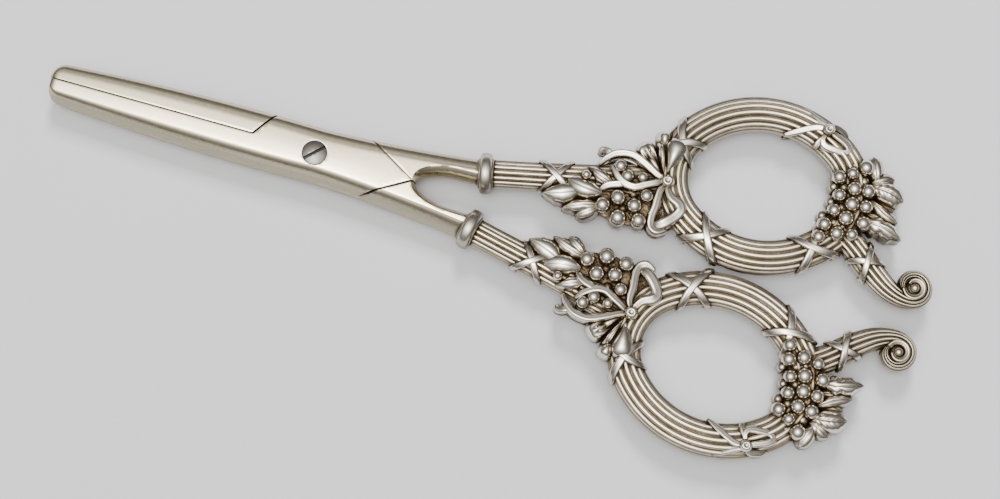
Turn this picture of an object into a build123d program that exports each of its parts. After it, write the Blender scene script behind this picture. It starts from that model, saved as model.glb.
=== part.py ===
from build123d import *
import math
import os

os.makedirs("parts", exist_ok=True)

# Overall height, between the two planes that the closed shears lie between
overall_t = 8.2
mid = overall_t / 2
overrun = 30.0

# Fits between the pieces
lap_gap = 0.05
seam_gap = 0.06
pivot_clear = 0.03
thread_clear = 0.01
tang_clear = 0.04
solder_gap = 0.02
loops_gap = 0.9

# The closed pair of blades, seen from above, with the pivot at zero
tip_reach = 54.9
tip_w = 6.0
nose_r = 2.3
joint_w = 9.8
bulge_w = 0.75
joint_x = 10.4
joint_rear_w = 11.2
blade_t = 6.4
tip_t = 4.9
crown_fall = 0.55
shoulder = 1.3
shoulder_limit_share = 0.8
shoulder_shares = ((0.0, 1.0), (0.25, 0.67), (1.0, 0.0))
crown_share = 0.5
crotch_bevel = 0.9
bevel_angle = 45.0
tip_step_len = 0.45
tip_fall = 0.32
flare_power = 1.5

blade_station_shares = (1.0, 0.975, 0.7, 0.35)
shank_station_shares = (0.0, 0.4, 1.1)

# Joint lines of the half-lap, and the wall that the upper blade closes against
wall_x = 13.1
wall_end_x = 9.4
meet_x = 19.9
scribe_w = 0.22
scribe_depth = 0.14

# Shanks behind the joint, each with a tang that runs into its stem
crotch_x = 21.4
crotch_w = 5.4
shank_w = 4.9
shank_end_x = 31.7
shank_end_y = 5.45
shank_drop = 0.4
tang_w = 2.6
tang_t = 2.6
tang_len = 13.0

# Pivot screw
head_d = 4.85
head_depth = 1.5
dome_rise = 0.35
core_d = 3.0
slot_w = 0.55
slot_depth = 0.7
slot_angle = 44.0

# Collar between shank and stem
collar_d = 8.2
collar_ring_w = 1.9
collar_round = 0.45
lip_d = 6.9
lip_w = 0.55
collar_sides = 16
stem_angle = 12.5

# Reeding, shared by stem, loop and scroll
reeds = 10
groove_share = 0.87
facet_angle = 17.0

# Stem from the collar to the finger loop
stem_w = 5.7
stem_t = 5.3
stem_end_w = 8.2
stem_end_t = 4.6
swell_share = 0.5
swell_w_share = 0.25
stem_into_share = 0.25
bow_at = 35.5

# Finger loop, an oval of four arcs
opening_l = 28.9
opening_w = 21.6
rail_w = 7.1
rail_t = 5.6
loop_front_x = 68.0
loop_angle = 7.0
loop_end_share = 0.66

# Scroll behind the loop
scroll_root_angle = -24.0
scroll_w = 5.6
scroll_t = 5.2
scroll_rise = -1.2
scroll_reeds = 8
neck_steps = 3
eye_reach = 15.3
eye_y = 6.2
volute_r = 4.0
volute_start_angle = -105.0
volute_sweep_angle = 265.0
volute_steps = 8
volute_shrink_share = 0.2
band_w = 3.2
band_end_w = 1.8
band_t = 4.6
eye_r = 1.15
eye_sides = 10
neck_power = 3

# Grapes, each a six-sided berry
berry_d = 3.0
berry_rise = 3.7
berry_cap_share = 0.28
berry_sides = 6
spray_w = 16.0
spray_berry_shares = [
    (0.66, -0.33, 1.0), (0.73, -0.20, 1.0), (0.745, -0.44, 1.0), (0.83, -0.33, 1.05),
    (0.85, -0.485, 1.0), (0.89, -0.20, 0.95), (0.79, 0.0, 1.0), (0.74, 0.15, 0.9),
]
cluster_rows = 5
cluster_step_angle = 10.3
cluster_start_angle = -27.0
cluster_out_shares = (-0.36, 0.02, 0.40)
cluster_stagger_angle = 4.8
cluster_taper_share = 0.1

# Leaves and ribbons
leaf_rise = 3.5
leaf_edge_rise = 2.6
leaf_w = 4.2
vine_leaf_w = 6.6
leaf_shares = [(0.0, 0.14), (0.2, 0.5), (0.42, 0.32), (0.62, 0.4), (1.0, 0.04)]
spray_leaf_shares = [
    ((0.61, -0.13), (0.315, -0.21), 0.9),
    ((0.64, -0.30), (0.43, -0.37), 0.85),
    ((0.68, -0.42), (0.52, -0.42), 0.7),
]
vine_leaf_reach_shares = [(11.0, 0.40), (-1.0, 0.54), (-13.0, 0.63)]
vine_leaf_gather_share = 0.6
vine_leaf_root_share = 0.42
petal_rise = 3.75
petal_edge_rise = 2.9
petal_w = 4.0
petal_shares = [(0.0, 0.16), (0.45, 0.5), (0.85, 0.42), (1.0, 0.12)]
petal_len = 8.6
petal_angles = (120.0, 84.0, -102.0, -68.0)
knot_d = 3.2
knot_cap_share = 0.17
knot_sides = 8
ribbon_w = 1.3
ribbon_t = 0.45
ribbon_rise = 3.3
tail_shares = [(0.97, 0.06), (0.85, 0.24), (0.71, 0.34), (0.64, 0.22)]
tie_slant_angle = 36.0
tie_len_share = 1.7
loop_tie_angles = (-128.6, 161.6, -50.0)
stem_tie_at = 13.6
rail_bow_angle = 48.0
rail_bow_out = 0.5
rail_knot_d = 2.7
rail_petal_len = 4.4
rail_petal_w = 2.4
rail_petal_angles = (76.0, -76.0, 110.0, -110.0)
scroll_tie_share = 0.45
quarter_turn = 90.0
crumb = 0.02
flat_limit = 0.0000001

# Places that follow from the sizes above
center_a = (opening_l + rail_w) / 2
loop_x = loop_front_x + center_a
loop_y = loops_gap / 2 + rail_w + opening_w / 2
eye_x = loop_x + center_a + eye_reach
center_b = (opening_w + rail_w) / 2
end_r = loop_end_share * center_a
end_c = center_a - end_r
side_r = (end_c**2 + center_b**2 - end_r**2) / (2 * (center_b - end_r))
side_c = side_r - center_b
arc_turn = math.degrees(math.atan2(side_c, end_c))
collar_len = collar_ring_w + 2 * lip_w
footprint_x = (eye_x + volute_r - tip_reach) / 2


def turned(x, y, angle):
    """A place turned about zero."""
    a = math.radians(angle)
    return (x * math.cos(a) - y * math.sin(a), x * math.sin(a) + y * math.cos(a))


def stem_point(along, aside=0):
    """A place on the stem: along it from the collar's middle, and outward from its axis."""
    x, y = turned(along + collar_len / 2, aside, stem_angle)
    return (shank_end_x + x, shank_end_y + y)


def loop_frame(x, y):
    """A place of the loop's own oval, set where the loop lies."""
    u, v = turned(x, y, loop_angle)
    return (loop_x + u, loop_y + v)


def loop_arc(angle):
    """The arc of the oval that a ray from its centre meets: its centre, radius and place on it."""
    a = math.radians(angle)
    corner = math.atan2(end_r * math.sin(math.radians(arc_turn)),
                        end_c + end_r * math.cos(math.radians(arc_turn)))
    if abs(math.sin(a)) < math.sin(corner):
        cx, cy, r = math.copysign(end_c, math.cos(a)), 0, end_r
        reach = end_c * abs(math.cos(a)) + math.sqrt(r**2 - (end_c * math.sin(a)) ** 2)
    else:
        cx, cy, r = 0, -math.copysign(side_c, math.sin(a)), side_r
        reach = -side_c * abs(math.sin(a)) + math.sqrt(r**2 - (side_c * math.cos(a)) ** 2)
    x, y = reach * math.cos(a), reach * math.sin(a)
    return cx, cy, r, math.degrees(math.atan2(y - cy, x - cx))


def loop_point(angle, aside=0):
    """A place on the finger loop: round it from its rear, and outward from the rail's middle."""
    cx, cy, r, turn = loop_arc(angle)
    x, y = turned(r + aside, 0, turn)
    return loop_frame(cx + x, cy + y)


def bearing(p, q):
    """The direction from one place to another, in degrees."""
    return math.degrees(math.atan2(q[1] - p[1], q[0] - p[0]))


def reeded(width, thick, count=reeds):
    """A bundle of reeds in straight lines: crests on an oval, with grooves between them."""
    points = []
    for i in range(2 * count):
        a = math.pi * i / count
        share = groove_share if i % 2 else 1
        points.append((share * width / 2 * math.cos(a), share * thick / 2 * math.sin(a)))
    return points


def crests(grow):
    """A maker of outlines that only touch the crests of reeds, or stand this far off them."""
    def outline(width, thick, count=reeds):
        return reeded(width + 2 * grow, thick + 2 * grow, count)[::2]

    return outline


def across(place, angle, outline):
    """The points of an outline set upright across a bar that runs at this angle through a place."""
    side = turned(0, 1, angle)
    return [(place[0] + side[0] * u, place[1] + side[1] * u, mid + v) for u, v in outline]


def flat(a, b, c, d):
    """Whether four points lie in one plane."""
    normal = (Vector(*b) - Vector(*a)).cross(Vector(*c) - Vector(*a))
    return abs((Vector(*d) - Vector(*a)).dot(normal.normalized())) < flat_limit


def skin(rings, closed=False):
    """A solid of flat faces through rings of points, with its ends shut or joined to each other."""
    faces = []
    for near, far in zip(rings, rings[1:] + rings[:1] if closed else rings[1:]):
        for i in range(len(near)):
            a, b, c, d = near[i - 1], near[i], far[i], far[i - 1]
            panels = [(a, b, c, d)] if flat(a, b, c, d) else [(a, b, c), (a, c, d)]
            faces += [Face(Wire.make_polygon(panel)) for panel in panels]
    if not closed:
        faces += [Face(Wire.make_polygon(ring)) for ring in (rings[0], rings[-1])]
    return Solid(Shell(faces))


def stack(place, layers, sides):
    """A many-sided upright form through layers of radius and height."""
    rings = []
    for radius, z in layers:
        ring = []
        for i in range(sides):
            x, y = turned(radius, 0, 4 * quarter_turn * i / sides)
            ring.append((place[0] + x, place[1] + y, z))
        rings.append(ring)
    return skin(rings)


def prism(outline, low, high):
    """A flat outline raised from one height to another."""
    return Pos(0, 0, low) * extrude(make_face(Polyline(*outline, close=True)), high - low)


def both_faces(half):
    """A form raised above the middle plane, with its mirror below it."""
    return half + mirror(half, Plane.XY.offset(mid))


def solids_of(shape):
    """The solids of a shape, without the crumbs that a cut can leave."""
    kept = [s for s in shape.solids() if s.volume > crumb]
    return Compound(children=kept) if len(kept) > 1 else kept[0]


# Blades


def pair_section(x, drop=0):
    """Section of the closed pair: flat sides, faceted shoulders and a crown, on both faces."""
    share = max(0, -x / tip_reach)
    if x < 0:
        half_w = (joint_w + (tip_w - joint_w) * share) / 2 + 4 * bulge_w * share * (1 - share)
    else:
        half_w = joint_w / 2 + (shank_outer() - joint_w / 2) * (x / shank_end_x) ** flare_power
    half_t = (blade_t - (blade_t - tip_t) * share**2) / 2 - drop
    half_t -= shank_drop * max(0, x / shank_end_x)
    if share == 1:
        half_t -= tip_fall
    wall = half_t - crown_fall
    bend = min(shoulder, shoulder_limit_share * wall)
    corner = [(half_w - bend * inn, wall - bend * down) for inn, down in shoulder_shares]
    corner.append((half_w * crown_share, half_t - crown_fall * crown_share**2))
    top = corner + [(-y, z) for y, z in reversed(corner)]
    return across((x, 0), 0, top + [(-y, -z) for y, z in top])


def shank_outer():
    """How far the outer side of a shank stands from the middle, at its end."""
    return stem_point(-collar_len / 2, shank_w / 2)[1]


def pair_body(drop=0):
    """Both blades and the root of both shanks in one form, from tip to collar."""
    blade = [-tip_reach * share for share in blade_station_shares]
    rear = [shank_end_x * share for share in shank_station_shares]
    return skin([pair_section(x, drop) for x in blade + rear])


def crotch():
    """The space between the shanks, rounded at its front and opened out at both faces."""
    out = stem_point(overrun, -shank_w / 2)
    inn = stem_point(-collar_len / 2, -shank_w / 2)
    fork = (crotch_x + crotch_w / 2, crotch_w / 2)

    def low(p):
        return (p[0], -p[1])

    face = make_face([
        ThreePointArc(low(fork), (crotch_x, 0), fork), Line(fork, inn), Line(inn, out),
        Line(out, low(out)), Line(low(out), low(inn)), Line(low(inn), low(fork)),
    ])
    wall = blade_t / 2 - crown_fall - shank_drop - crotch_bevel
    flare = Pos(0, 0, wall) * extrude(face, 2 * crotch_bevel, taper=-bevel_angle)
    return both_faces(Pos(0, 0, mid) * (extrude(face, wall) + flare))


def closed_pair():
    """Both blades in one, before the joint lines are cut."""
    nose = fillet(Rectangle(2 * tip_reach, tip_w).vertices().group_by(Axis.X)[0], nose_r)
    rest = Pos(-tip_reach + nose_r, 0) * Rectangle(
        tip_reach + shank_end_x + overrun, 2 * overrun, align=(Align.MIN, Align.CENTER)
    )
    body = pair_body() & extrude(nose + rest, overall_t)
    body -= crotch()
    for side in (1, -1):
        place = Pos(*stem_point(-collar_len / 2)[:1], side * shank_end_y, mid)
        body -= place * Rot(0, 0, side * stem_angle) * Box(
            overrun, overrun / 2, overall_t, align=(Align.MIN, Align.CENTER, Align.CENTER)
        )
    return body


def wall_region(grow):
    """Plan of the lower blade's wall, ahead of its slanting end."""
    lean = (wall_x - wall_end_x) / (joint_w / 2)
    far = -tip_reach - overrun
    face = make_face(Polyline(
        (far, 0), (-wall_x, 0), (-wall_x + lean * overrun, overrun), (far, overrun), close=True
    ))
    return extrude(offset(face, grow, kind=Kind.INTERSECTION), overall_t)


def shank_region(grow, side):
    """Plan of one shank's full height, behind its joint line."""
    lean = (meet_x - joint_x) / (joint_rear_w / 2)
    far = shank_end_x + overrun
    face = make_face(Polyline(
        (meet_x, 0), (far, 0), (far, side * overrun), (meet_x - lean * overrun, side * overrun),
        close=True,
    ))
    return extrude(offset(face, grow, kind=Kind.INTERSECTION), overall_t)


def layer(low, high):
    """All that lies between two heights."""
    size = 2 * (tip_reach + shank_end_x + overrun)
    return Pos(0, 0, (low + high) / 2) * Box(size, size, high - low)


def tang(grow=0):
    """The square tang behind a shank, or the space that it takes."""
    x, y = stem_point(-collar_len / 2)
    wide, tall = tang_w + 2 * grow, tang_t + 2 * grow
    bar = Box(tang_len, wide, tall, align=(Align.MIN, Align.CENTER, Align.CENTER))
    return Pos(x, y, mid) * Rot(0, 0, stem_angle) * bar


def scribe():
    """The fine line on the upper blade that matches the joint line across from it."""
    run = (meet_x - joint_x, -joint_rear_w / 2)
    length = math.hypot(*run)
    bar = Box(length, scribe_w, overall_t, align=(Align.MIN, Align.CENTER, Align.MIN))
    line = Pos(joint_x, joint_rear_w / 2, mid) * Rot(0, 0, bearing((0, 0), run)) * bar
    return line - pair_body(scribe_depth)


def upper_blade(pair):
    """Blade in the upper layer, full width round the screw, and its shank at full height."""
    grow = seam_gap / 2
    top = pair & layer(mid + lap_gap / 2, overall_t)
    blade = top - wall_region(grow) + (pair & shank_region(-grow, 1))
    blade -= shank_region(grow, -1)
    blade -= Pos(-tip_reach + tip_step_len, 0, mid) * Box(
        overrun, overrun, overall_t, align=(Align.MAX, Align.CENTER, Align.CENTER)
    )
    blade -= Pos(0, 0, mid) * Cylinder(core_d / 2 + pivot_clear, overall_t)
    seat = mid + blade_t / 2 - head_depth - lap_gap
    blade -= Pos(0, 0, seat) * Cylinder(
        head_d / 2 + pivot_clear, overall_t, align=(Align.CENTER, Align.CENTER, Align.MIN)
    )
    return blade - scribe() + tang()


def lower_blade(pair):
    """Blade across the lower layer with its wall at full height, and its shank."""
    grow = seam_gap / 2
    bottom = (pair & layer(0, mid - lap_gap / 2)) - shank_region(grow, 1)
    blade = bottom + (pair & wall_region(-grow)) + (pair & shank_region(-grow, -1))
    blade -= Pos(0, 0, mid) * Cylinder(core_d / 2 + thread_clear, overall_t)
    return blade + mirror(tang(), Plane.XZ)


def pivot_screw():
    """Slotted screw with a slightly domed head, filed flush below."""
    r, top, base = head_d / 2, mid + blade_t / 2, mid - blade_t / 2
    seat = top - head_depth
    profile = make_face(Polyline(
        (0, top + dome_rise), (0, base), (core_d / 2, base), (core_d / 2, seat),
        (r, seat), (r, top), close=True
    ))
    screw = revolve(Plane.XZ * profile, Axis.Z)
    slot = Pos(0, 0, top + dome_rise - slot_depth / 2) * Rot(0, 0, slot_angle)
    return screw - slot * Box(2 * head_d, slot_w, slot_depth)


# Handle


def collar():
    """Ring with a lip each side, holed for the tang."""
    half, lip, r = collar_ring_w / 2, collar_len / 2, collar_d / 2
    layers = [
        (lip_d / 2, -lip), (lip_d / 2, -half), (r - collar_round, -half), (r, collar_round - half),
        (r, half - collar_round), (r - collar_round, half), (lip_d / 2, half), (lip_d / 2, lip),
    ]
    ring = Rot(0, quarter_turn, 0) * stack((0, 0), layers, collar_sides)
    return Pos(*stem_point(0), mid) * Rot(0, 0, stem_angle) * ring - tang(tang_clear)


def loop_ring(outline):
    """A rail of this outline, in short flats along the four arcs of the loop."""
    ends, sides = 2 * arc_turn, 2 * (quarter_turn - arc_turn)
    rings = []
    for quarter, sweep in enumerate((ends, sides, ends, sides)):
        angle = quarter * quarter_turn
        cx, cy, r, turn = loop_arc(angle)
        steps = round(sweep / facet_angle)
        for i in range(steps):
            way = turn + sweep * (i / steps - 1 / 2)
            x, y = turned(r, 0, way)
            rings.append(across(loop_frame(cx + x, cy + y), way + quarter_turn + loop_angle, outline))
    return skin(rings, closed=True)


def stem(section):
    """Stem that swells towards the loop, solid before its socket is cut."""
    root = collar_len / 2
    stations = []
    for share, width, thick in (
        (0, stem_w, stem_t),
        (swell_share, stem_w + swell_w_share * (stem_end_w - stem_w), stem_t),
        (1, stem_end_w, stem_end_t),
    ):
        place = stem_point(root + share * (bow_at + stem_into_share * rail_w - root))
        stations.append(across(place, stem_angle, section(width, thick)))
    return skin(stations)


def scroll_way(share):
    """A place on the neck of the scroll, with its direction and width."""
    root = loop_point(scroll_root_angle)
    x, y = turned(volute_r - scroll_w / 2, 0, volute_start_angle)
    tail = (eye_x + x, eye_y + y)
    x, y = turned(0, scroll_rise, bearing(root, tail))
    path = ThreePointArc(root, ((root[0] + tail[0]) / 2 + x, (root[1] + tail[1]) / 2 + y), tail)
    place = path @ share
    way = path % share
    width = scroll_w + (band_w - scroll_w) * share**neck_power
    return (place.X, place.Y), bearing((0, 0), (way.X, way.Y)), width


def scroll_neck(section):
    """The neck of the scroll, from the loop to the start of its curl."""
    stations = []
    for i in range(neck_steps + 1):
        place, way, width = scroll_way(i / neck_steps)
        stations.append(across(place, way, section(width, scroll_t, scroll_reeds)))
    return skin(stations)


def volute(section):
    """The curl at the end of the scroll, with its eye."""
    stations = []
    for i in range(volute_steps):
        share = i / (volute_steps - 1)
        width = band_w + (band_end_w - band_w) * share
        reach = volute_r * (1 - volute_shrink_share * share) - width / 2
        turn = volute_start_angle + volute_sweep_angle * share
        x, y = turned(reach, 0, turn)
        outline = section(width, band_t, scroll_reeds)
        stations.append(across((eye_x + x, eye_y + y), turn + quarter_turn, outline))
    low, high = mid - band_t / 2, mid + band_t / 2
    return skin(stations) + stack((eye_x, eye_y), [(eye_r, low), (eye_r, high)], eye_sides)


# Ornament


def berry(place, size):
    """One grape through the thickness, with a cut cap on each face."""
    r = size * berry_d / 2
    rise = berry_rise - (1 - size) * berry_d
    cap = berry_cap_share * berry_d
    layers = [(r - cap, -rise), (r, cap - rise), (r, rise - cap), (r - cap, rise)]
    return stack(place, [(radius, mid + z) for radius, z in layers], berry_sides)


def boss(place, d):
    """The knot of a bow: as tall as the whole piece, flat on both faces."""
    cap = knot_cap_share * d
    layers = [(d / 2 - cap, 0), (d / 2, cap), (d / 2, overall_t - cap), (d / 2 - cap, overall_t)]
    return stack(place, layers, knot_sides)


def folded(shares, base, tip, width, ridge, edge):
    """A leaf or ribbon loop through the thickness, folded along its middle on each face."""
    length = math.dist(base, tip)
    side = [(length * x, width * y) for x, y in shares]
    outline = side + [(x, -y) for x, y in reversed(side)]
    fold = [(-width, -edge), (0, -ridge), (width, -edge), (width, edge), (0, ridge), (-width, edge)]
    bar = extrude(Plane.YZ * make_face(Polyline(*fold, close=True)), length)
    leaf = prism(outline, -mid, mid) & bar
    return Pos(*base, mid) * Rot(0, 0, bearing(base, tip)) * leaf


def tie(place, angle, width, band, bar):
    """Crossed ribbon over a bar: two slanting straps cut from a band that stands round it."""
    straps = [
        Pos(*place, mid) * Rot(0, 0, angle + lean) * Box(tie_len_share * width, ribbon_w, overall_t)
        for lean in (tie_slant_angle, -tie_slant_angle)
    ]
    return (band & (straps[0] + straps[1])) - bar


def spray_point(share_along, share_aside):
    """A place in the spray between the stem's tie and the bow."""
    return stem_point(share_along * bow_at, share_aside * spray_w)


def ribbon_bow():
    """Bow where the stem meets the loop, with a tail towards the collar."""
    knot = stem_point(bow_at)
    bow = boss(knot, knot_d)
    for turn in petal_angles:
        x, y = turned(petal_len, 0, stem_angle + turn)
        tip = (knot[0] + x, knot[1] + y)
        bow += folded(petal_shares, knot, tip, petal_w, petal_rise, petal_edge_rise)
    points = [spray_point(*p) for p in tail_shares]
    for p, q in zip(points, points[1:]):
        bar = Box(math.dist(p, q) + ribbon_w / 2, ribbon_w, 2 * ribbon_rise)
        middle = ((p[0] + q[0]) / 2, (p[1] + q[1]) / 2)
        bow += Pos(*middle, mid) * Rot(0, 0, bearing(p, q)) * bar
    return bow


def rail_bow():
    """Small bow with its knot on the outer side of the loop."""
    knot = loop_point(rail_bow_angle, rail_bow_out)
    turn = loop_arc(rail_bow_angle)[3] + loop_angle
    bow = boss(knot, rail_knot_d)
    for lean in rail_petal_angles:
        x, y = turned(rail_petal_len, 0, turn + lean)
        tip = (knot[0] + x, knot[1] + y)
        bow += folded(petal_shares, knot, tip, rail_petal_w, petal_rise, petal_edge_rise)
    return bow


def spray_grapes():
    """Grapes on the inner side of the stem."""
    berries = [berry(spray_point(a, b), size) for a, b, size in spray_berry_shares]
    return berries[0] + berries[1:]


def grape_cluster():
    """Grapes in staggered rows round the rear of the loop."""
    berries = []
    for col, out in enumerate(cluster_out_shares):
        for row in range(cluster_rows - col % 2):
            size = 1 - cluster_taper_share * abs(2 * row / (cluster_rows - 1) - 1)
            turn = cluster_start_angle + cluster_step_angle * row + cluster_stagger_angle * (col % 2)
            berries.append(berry(loop_point(turn, out * rail_w), size))
    return berries[0] + berries[1:]


def spray_leaves():
    """Leaves that point from the grapes back along the stem."""
    leaves = [
        folded(leaf_shares, spray_point(*base), spray_point(*tip), size * leaf_w, leaf_rise, leaf_edge_rise)
        for base, tip, size in spray_leaf_shares
    ]
    return leaves[0] + leaves[1:]


def vine_leaves():
    """Broad leaves behind the cluster."""
    leaves = []
    for turn, reach in vine_leaf_reach_shares:
        base = loop_point(vine_leaf_gather_share * turn, vine_leaf_root_share * rail_w)
        tip = loop_point(turn, reach * center_a)
        leaves.append(folded(leaf_shares, base, tip, vine_leaf_w, leaf_rise, leaf_edge_rise))
    return leaves[0] + leaves[1:]


def ribbon_ties(rail, bar, neck):
    """The crossed ribbons on loop, stem and scroll, each standing round the bar that it ties."""
    over = crests(ribbon_t)
    band = loop_ring(over(rail_w, rail_t))
    ties = []
    for angle in loop_tie_angles:
        way = loop_arc(angle)[3] + loop_angle + quarter_turn
        ties.append(tie(loop_point(angle), way, rail_w, band, rail))
    ties.append(tie(stem_point(stem_tie_at), stem_angle, stem_w, stem(over), bar))
    place, way, width = scroll_way(scroll_tie_share)
    ties.append(tie(place, way, width, scroll_neck(over), neck))
    return ties[0] + ties[1:]


def handle():
    """The pieces of one handle by name, each cut to sit on those named before it."""
    seat = crests(solder_gap)
    rail = loop_ring(seat(rail_w, rail_t))
    bar = stem(seat) - rail
    neck = scroll_neck(seat)
    curl = neck + volute(seat) - rail
    ornaments = {
        "ribbon_ties": ribbon_ties(rail, bar, neck),
        "ribbon_bow": ribbon_bow(),
        "rail_bow": rail_bow(),
        "stem_grapes": spray_grapes(),
        "grape_cluster": grape_cluster(),
        "stem_leaves": spray_leaves(),
        "vine_leaves": vine_leaves(),
    }
    done = [rail, bar, curl]
    for name, piece in ornaments.items():
        for other in done:
            piece = piece - other
        ornaments[name] = solids_of(piece)
        done.append(ornaments[name])
    plain = {
        "finger_loop": loop_ring(reeded(rail_w, rail_t)),
        "stem": stem(reeded) - rail - tang(tang_clear),
        "scroll": scroll_neck(reeded) + volute(reeded) - rail,
        "collar": collar(),
    }
    return plain | ornaments


def save(name, shape):
    """Move a piece into the frame at the middle of the footprint, and write it."""
    export_step(Pos(-footprint_x, 0, 0) * shape, f"parts/{name}.step")


pair = closed_pair()
save("upper_blade", upper_blade(pair))
save("lower_blade", lower_blade(pair))
save("pivot_screw", pivot_screw())
for name, piece in handle().items():
    save(f"upper_{name}", piece)
    save(f"lower_{name}", mirror(piece, Plane.XZ))
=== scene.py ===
import bisect
import math

import bpy
from mathutils import Matrix, Vector


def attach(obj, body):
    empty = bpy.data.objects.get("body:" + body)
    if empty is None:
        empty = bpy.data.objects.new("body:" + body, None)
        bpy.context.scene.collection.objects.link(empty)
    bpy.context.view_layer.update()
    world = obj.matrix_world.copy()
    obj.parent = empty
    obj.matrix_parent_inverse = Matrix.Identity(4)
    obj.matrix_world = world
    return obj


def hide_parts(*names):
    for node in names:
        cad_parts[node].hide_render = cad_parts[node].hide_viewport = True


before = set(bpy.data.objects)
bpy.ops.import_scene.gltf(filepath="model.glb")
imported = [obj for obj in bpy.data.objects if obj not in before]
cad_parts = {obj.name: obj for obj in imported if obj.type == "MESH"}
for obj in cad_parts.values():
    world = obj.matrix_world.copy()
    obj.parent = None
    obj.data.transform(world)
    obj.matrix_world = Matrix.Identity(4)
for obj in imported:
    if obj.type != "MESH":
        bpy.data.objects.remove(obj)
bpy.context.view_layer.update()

# Sizes in millimetres, measured from the pivot; the upper half's handle lies at +Y
MM = 0.001
OVERALL_T = 8.2
MID = OVERALL_T / 2
# The frame's zero lies this far behind the pivot
PIVOT_X = 34.2

# Blades
TIP_REACH = 54.9
TIP_W = 7.6
NOSE_R = 2.6
JOINT_W = 10.9
BULGE_W = 0.7
BLADE_T = 6.4
TIP_T = 4.9
NOSE_ROLL = 1.7
NOSE_FALL = 1.25
SHANK_END = (31.7, 5.45)
SHANK_W = 4.9
SHANK_SWELL = 0.1
SHANK_DROP = 0.4
CROTCH = ((20.35, 0.0), (20.6, 0.4), (21.15, 0.9), (22.2, 1.55), (23.6, 2.15), (25.3, 2.6), (27.4, 2.88))
CROTCH_END = (60.0, 9.5)
# Plan of a block that holds both blades and shanks
BLOCK = ((-90, -20), (60, -20), (60, 20), (-90, 20))
# Where the lower blade's wall ends, at the seam and at its side
WALL_X = 13.1
WALL_END_X = 9.4
# Where the shanks' full height begins, between them and at the side
MEET_X = 19.9
JOINT_X = 10.4
JOINT_REAR_W = 11.2
LAP_GAP = 0.1
SEAM_Y = 0.45
SEAM_GAP = 0.27
TIP_STEP = 0.45
TANG_L, TANG_W, TANG_ROOT = 13.0, 2.6, 0.5
SCRIBE = ((9.6, 6.0), (19.8, 0.1))
SCRIBE_W = 0.28
SCRIBE_DEEP = 0.32
BLADE_EDGE = 0.05

# Pivot screw
HEAD_D = 4.85
HEAD_DEEP = 1.5
HEAD_GAP = 0.07
HEAD_FLOOR_GAP = 0.05
HEAD_EDGE = 0.06
CORE_R = 1.49
CORE_FIT = 0.02
SLOT_W, SLOT_DEEP = 0.6, 0.42
SLOT_ANGLE = 44.0

# Stem, loop and scroll
STEM_ANGLE = 12.5
COLLAR_LEN = 3.0
STEM_SOCKET = 0.3
STEM_W, STEM_T = 5.7, 5.3
STEM_END_W, STEM_END_T = 8.2, 4.6
STEM_SWELL = 2.4
BOW_AT = 35.5
STEM_PAST_BOW = 1.9
OPENING_L, OPENING_W = 28.9, 21.6
RAIL_W, RAIL_T = 7.1, 5.6
LOOPS_GAP = 0.9
LOOP_FRONT_X = 68.0
LOOP_ANGLE = 7.0
LOOP_END_SHARE = 0.66
SCROLL_T, SCROLL_END_T = 5.2, 4.5
EYE = (119.4, 6.5)

CENTER_A = (OPENING_L + RAIL_W) / 2
CENTER_B = (OPENING_W + RAIL_W) / 2
LOOP_X = LOOP_FRONT_X + CENTER_A
LOOP_Y = LOOPS_GAP / 2 + RAIL_W + OPENING_W / 2


# Plane geometry


def turned(x, y, angle):
    """A place turned about zero."""
    a = math.radians(angle)
    return (x * math.cos(a) - y * math.sin(a), x * math.sin(a) + y * math.cos(a))


def turned_bar(place, angle, start, stop, half):
    """Plan corners of a straight bar that runs from start to stop along this angle."""
    corners = ((start, half), (start, -half), (stop, -half), (stop, half))
    return [(place[0] + x, place[1] + y) for x, y in (turned(u, v, angle) for u, v in corners)]


def circle(radius, count):
    """Points round a circle about zero."""
    return [turned(radius, 0, 360 * k / count) for k in range(count)]


def beside(base, tip, t, aside):
    """A place this share of the way from base to tip, and this far to its left."""
    length = math.dist(base, tip)
    ux, uy = (tip[0] - base[0]) / length, (tip[1] - base[1]) / length
    return (base[0] + ux * t * length - uy * aside, base[1] + uy * t * length + ux * aside)


def rounded_off(t, start, power):
    """One until this share of the way, then round down to nothing."""
    return math.sqrt(max(0.0, 1 - max(0.0, (t - start) / (1 - start)) ** power))


def stem_point(along, aside=0.0):
    """A place on the stem: along it from the collar's middle, and outward from its axis."""
    x, y = turned(along + COLLAR_LEN / 2, aside, STEM_ANGLE)
    return (SHANK_END[0] + x, SHANK_END[1] + y)


def smooth_path(points, steps, closed=False):
    """Points along a smooth curve through the given ones."""
    out = []
    n = len(points)
    spans = n if closed else n - 1
    for i in range(spans):
        if closed:
            p = [points[(i + k) % n] for k in (-1, 0, 1, 2)]
        else:
            p = [points[min(max(i + k, 0), n - 1)] for k in (-1, 0, 1, 2)]
        for s in range(steps):
            t = s / steps
            out.append(tuple(
                0.5 * (2 * b + (c - a) * t + (2 * a - 5 * b + 4 * c - d) * t**2
                       + (3 * b - a - 3 * c + d) * t**3)
                for a, b, c, d in zip(*p)
            ))
    if not closed:
        out.append(tuple(points[-1]))
    return out


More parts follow.
